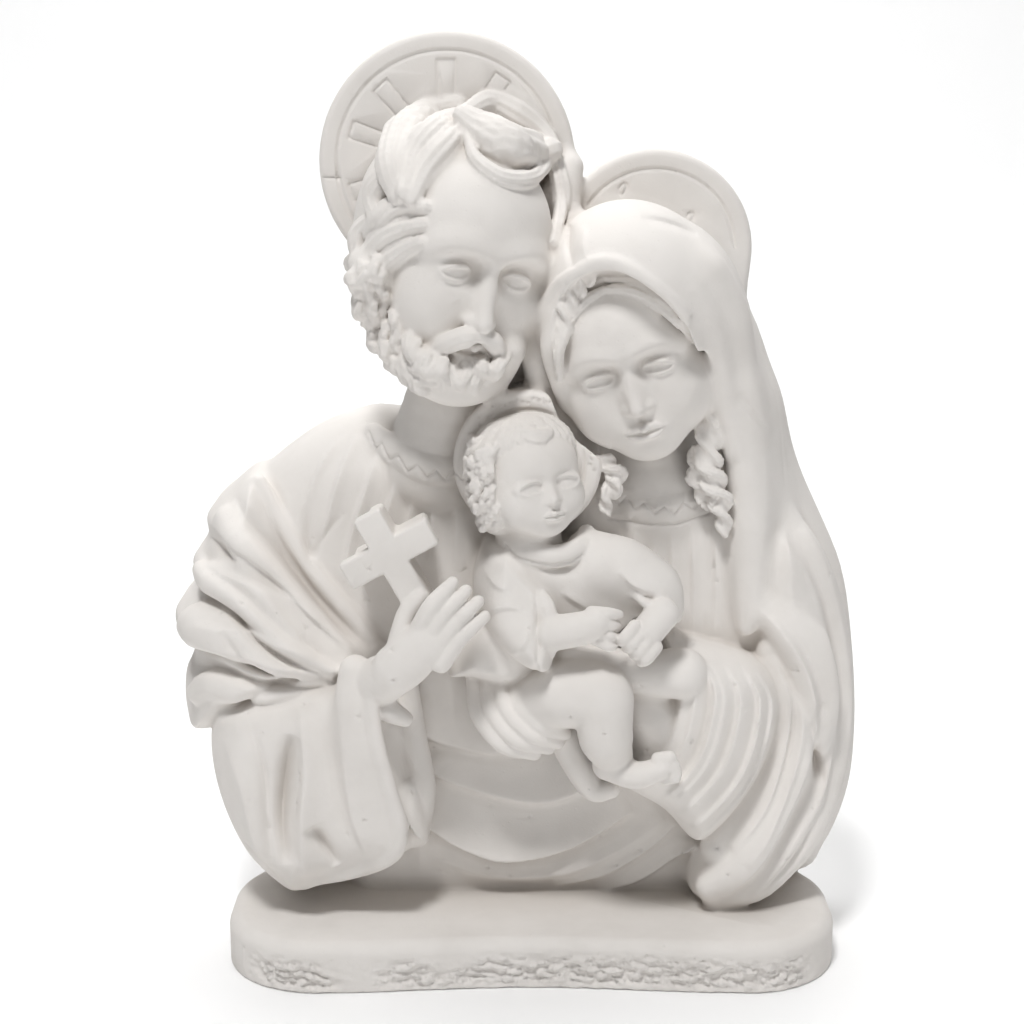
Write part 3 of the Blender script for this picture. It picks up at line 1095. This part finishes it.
def reliefTree():  # sinks the lines into the surface and chips the base's front
    tree = bpy.data.node_groups.new("castRelief", "GeometryNodeTree")
    names = ("Geometry", "Lines", "Width", "Depth", "Chip Depth", "Chip Top", "Front", "Seed", "Material")
    kinds = {"Geometry": "Geometry", "Lines": "Object", "Material": "Material"}
    for name in names:
        kind = "NodeSocket" + kinds.get(name, "Float")
        tree.interface.new_socket(name, in_out="INPUT", socket_type=kind)
    tree.interface.new_socket("Geometry", in_out="OUTPUT", socket_type="NodeSocketGeometry")
    given = tree.nodes.new("NodeGroupInput").outputs

    def add(kind, settings=None, **inputs):
        node = tree.nodes.new(kind)
        for name, value in (settings or {}).items():
            setattr(node, name, value)
        for name, value in inputs.items():  # i0 is the first input, From_Min the one called From Min
            place = int(name[1:]) if name[1:].isdigit() else name.replace("_", " ")
            socket = node.inputs[place]
            if isinstance(value, bpy.types.NodeSocket):
                tree.links.new(value, socket)
            else:
                socket.default_value = value
        return node.outputs

    def maths(kind, first, second):
        return add("ShaderNodeMath", {"operation": kind}, i0=first, i1=second)[0]

    def noise(place, **inputs):
        settings = {"noise_dimensions": "4D"}
        return add("ShaderNodeTexNoise", settings, Vector=place, W=given["Seed"], **inputs)["Fac"]

    def ramp(value, low, high, first, last):
        return add("ShaderNodeMapRange", {"interpolation_type": "SMOOTHSTEP"}, Value=value, From_Min=low,
                   From_Max=high, To_Min=first, To_Max=last)["Result"]

    lines = add("GeometryNodeObjectInfo", Object=given["Lines"])["Geometry"]
    near = add("GeometryNodeProximity", {"target_element": "EDGES"}, i0=lines)["Distance"]
    sunk = ramp(near, 0.0, given["Width"], given["Depth"], 0.0)
    place = add("GeometryNodeInputPosition")["Position"]
    parts = add("ShaderNodeSeparateXYZ", Vector=place)
    low = maths("MULTIPLY", ramp(parts["Z"], 0.008, given["Chip Top"], 1.0, 0.0),
                ramp(parts["Z"], 0.0005, 0.004, 0.15, 1.0))
    front = ramp(parts["Y"], given["Front"], maths("ADD", given["Front"], 0.012), 1.0, 0.0)
    flattened = add("ShaderNodeVectorMath", {"operation": "MULTIPLY"}, i0=place, i1=(0.75, 1.0, 2.0))
    patch = noise(place, Scale=24.0, Detail=2.0)
    crumbs = noise(flattened["Vector"], Scale=220.0, Detail=3.0, Roughness=0.6)
    chipped = maths("MULTIPLY", maths("MULTIPLY", low, front), ramp(patch, 0.36, 0.50, 0.15, 1.0))
    chips = maths("MULTIPLY", chipped, ramp(crumbs, 0.36, 0.62, 0.0, given["Chip Depth"]))
    inward = maths("MULTIPLY", maths("ADD", sunk, chips), -1.0)
    normal = add("GeometryNodeInputNormal")["Normal"]
    offset = add("ShaderNodeVectorMath", {"operation": "SCALE"}, i0=normal, Scale=inward)["Vector"]
    moved = add("GeometryNodeSetPosition", Geometry=given["Geometry"], Offset=offset)["Geometry"]
    real = add("GeometryNodeRealizeInstances", Geometry=moved)["Geometry"]
    dressed = add("GeometryNodeSetMaterial", Geometry=real, Material=given["Material"])["Geometry"]
    tree.links.new(dressed, tree.nodes.new("NodeGroupOutput").inputs["Geometry"])
    return tree


def relief(fine, guide):
    tree = reliefTree()
    values = {"Lines": guide, "Width": engraving["width"], "Depth": engraving["depth"],
              "Chip Depth": engraving["chipDepth"], "Chip Top": engraving["chipTop"],
              "Front": -baseSize["depth"] / 2000 + engraving["chipBehind"], "Seed": engraving["seed"],
              "Material": fine.data.materials[0]}
    modifier = fine.modifiers.new("relief", "NODES")
    modifier.node_group = tree
    for item in tree.interface.items_tree:
        if item.in_out == "INPUT" and item.name in values:
            modifier[item.identifier] = values[item.name]


plasterLook = {
    "bright": (0.80, 0.768, 0.735, 1),
    "worn": (0.745, 0.712, 0.678, 1),
    "recess": (0.54, 0.498, 0.456, 1),
    "roughness": 0.82,
    "specular": 0.3,
    "grainDepth": 0.00012,
    "holeDepth": 0.0002,
}


def plasterMaterial():
    material = bpy.data.materials.new("plaster")
    material.use_nodes = True
    tree = material.node_tree
    shader = tree.nodes["Principled BSDF"]
    shader.inputs["Roughness"].default_value = plasterLook["roughness"]
    shader.inputs["Specular IOR Level"].default_value = plasterLook["specular"]

    def add(kind, **inputs):
        node = tree.nodes.new(kind)
        for name, value in inputs.items():
            node.inputs[name].default_value = value
        return node

    place = add("ShaderNodeTexCoord").outputs["Object"]
    clouds = add("ShaderNodeTexNoise", Scale=22, Detail=4, Roughness=0.6)
    grit = add("ShaderNodeTexNoise", Scale=900, Detail=3, Roughness=0.6)
    pits = add("ShaderNodeTexVoronoi", Scale=260, Randomness=1.0)
    for texture in (clouds, grit, pits):
        tree.links.new(place, texture.inputs["Vector"])
    hollow = tree.nodes.new("ShaderNodeAttribute")
    hollow.attribute_name = "recess"

    def mix(factor, first, second):
        node = tree.nodes.new("ShaderNodeMix")
        node.data_type = "RGBA"
        for socket, value in ((node.inputs[0], factor), (node.inputs[6], first), (node.inputs[7], second)):
            if isinstance(value, bpy.types.NodeSocket):
                tree.links.new(value, socket)
            else:
                socket.default_value = value
        return node.outputs[2]

    def ramp(value, low, high):
        node = add("ShaderNodeMapRange", **{"From Min": low, "From Max": high})
        tree.links.new(value, node.inputs["Value"])
        return node.outputs["Result"]

    tone = mix(ramp(clouds.outputs["Fac"], 0.42, 0.68), plasterLook["bright"], plasterLook["worn"])
    tone = mix(ramp(hollow.outputs["Fac"], 0.10, 0.75), tone, plasterLook["recess"])
    tree.links.new(tone, shader.inputs["Base Color"])
    pinholes = ramp(pits.outputs["Distance"], 0.02, 0.16)
    low = add("ShaderNodeBump", Strength=0.5, Distance=plasterLook["grainDepth"])
    tree.links.new(grit.outputs["Fac"], low.inputs["Height"])
    holes = add("ShaderNodeBump", Strength=0.35, Distance=plasterLook["holeDepth"])
    tree.links.new(pinholes, holes.inputs["Height"])
    tree.links.new(low.outputs["Normal"], holes.inputs["Normal"])
    tree.links.new(holes.outputs["Normal"], shader.inputs["Normal"])
    return material


# The stage: a pale floor, soft light and the camera.

stage = {
    "camera": (-0.0086, -0.800, 0.380),
    "pitch": 12.7,  # degrees down
    "lens": 67.18,
    "floor": (0.97, 0.97, 0.97, 1),
    "near": -3.0,
    "far": 0.8,
    "bend": 0.8,
    "wide": 4.0,
    "tall": 4.0,
    "drop": 0.0002,  # keeps the floor clear of the base's underside
    "world": 0.125,
    "lamps": {  # place, aim, size, power
        "key": ((-0.32, -0.95, 2.15), (0, 0, 0.2), 0.38, 30.5),
        "lowFill": ((0.32, -0.80, 0.30), (0, 0, 0.08), 0.5, 0.75),
        "backdropLight": ((0, 1.0, 2.4), (0, 1.4, 0.3), 2.0, 40.0),
    },
}


def floorSweep():  # a floor that curves up into a backdrop
    mesh = bpy.data.meshes.new("floor")
    near, far, bend, wide = stage["near"], stage["far"], stage["bend"], stage["wide"]
    angles = np.linspace(0, math.pi / 2, 25)
    side = [(near, 0)] + [(far + bend * math.sin(a), bend * (1 - math.cos(a))) for a in angles]
    side.append((far + bend, stage["tall"]))
    points = [(x, y, z) for y, z in side for x in (-wide, wide)]
    mesh.from_pydata(points, [], [(2 * i, 2 * i + 1, 2 * i + 3, 2 * i + 2) for i in range(len(side) - 1)])
    mesh.shade_smooth()
    material = bpy.data.materials.new("floor")
    material.use_nodes = True
    shader = material.node_tree.nodes["Principled BSDF"]
    shader.inputs["Base Color"].default_value = stage["floor"]
    shader.inputs["Roughness"].default_value = 0.9
    mesh.materials.append(material)
    floor = bpy.data.objects.new("floor", mesh)
    floor.location.z = -stage["drop"]
    bpy.context.scene.collection.objects.link(floor)


def softLight(name, place, aim, size, power):
    data = bpy.data.lights.new(name, "AREA")
    data.size = size
    data.energy = power
    lamp = bpy.data.objects.new(name, data)
    lamp.location = place
    lamp.rotation_euler = (Vector(aim) - Vector(place)).to_track_quat("-Z", "Y").to_euler()
    bpy.context.scene.collection.objects.link(lamp)


def studio():
    floorSweep()
    for name, lamp in stage["lamps"].items():
        softLight(name, *lamp)
    world = bpy.data.worlds.new("studio")
    bpy.context.scene.world = world
    world.use_nodes = True
    background = world.node_tree.nodes["Background"]
    background.inputs["Color"].default_value = (1, 1, 1, 1)
    background.inputs["Strength"].default_value = stage["world"]
    data = bpy.data.cameras.new("camera")
    data.lens = stage["lens"]
    camera = bpy.data.objects.new("camera", data)
    camera.location = stage["camera"]
    camera.rotation_euler = (math.radians(90 - stage["pitch"]), 0, 0)
    bpy.context.scene.collection.objects.link(camera)
    bpy.context.scene.camera = camera
    bpy.context.scene.view_settings.view_transform = "Standard"


def fineCast(cell):
    clay = sculpt(cell)
    points, faces = surface(clay)
    hollows = recesses(clay, points, grain["recessStep"], grain["recessReach"])
    print("clay cut into", len(faces), "faces")
    mesh = meshFrom("castFine", toFrame(points), faces)
    attribute = mesh.attributes.new("recess", "FLOAT", "POINT")
    attribute.data.foreach_set("value", hollows.astype(np.float32))
    mesh.materials.append(plasterMaterial())
    fine = bpy.data.objects.new("castFine", mesh)
    bpy.context.scene.collection.objects.link(fine)
    relief(fine, engravedLines(clay))
    return fine


# Everything is made here.

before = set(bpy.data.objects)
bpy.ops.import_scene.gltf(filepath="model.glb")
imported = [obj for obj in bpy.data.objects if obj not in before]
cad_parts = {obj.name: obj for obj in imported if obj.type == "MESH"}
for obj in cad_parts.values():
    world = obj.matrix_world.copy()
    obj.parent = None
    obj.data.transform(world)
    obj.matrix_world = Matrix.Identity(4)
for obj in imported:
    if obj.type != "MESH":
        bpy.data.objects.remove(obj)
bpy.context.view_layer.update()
print("frame loaded:", len(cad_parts), "node")
fine = fineCast(grain["cell"])
thin = fine.modifiers.new("thinOut", "DECIMATE")
thin.ratio = min(1.0, grain["faces"] / (2 * len(fine.data.polygons)))
thin.use_collapse_triangulate = True
graph = bpy.context.evaluated_depsgraph_get()
cast = bpy.data.meshes.new_from_object(fine.evaluated_get(graph), depsgraph=graph)
bpy.data.objects.remove(fine)
bpy.data.objects.remove(bpy.data.objects["engravedLines"])
statue = bpy.data.objects.new("holyFamilyCast", cast)
bpy.context.scene.collection.objects.link(statue)
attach(statue, "root")
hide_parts("holy_family_statue")
print("cast made:", len(cast.polygons), "triangles")

studio()
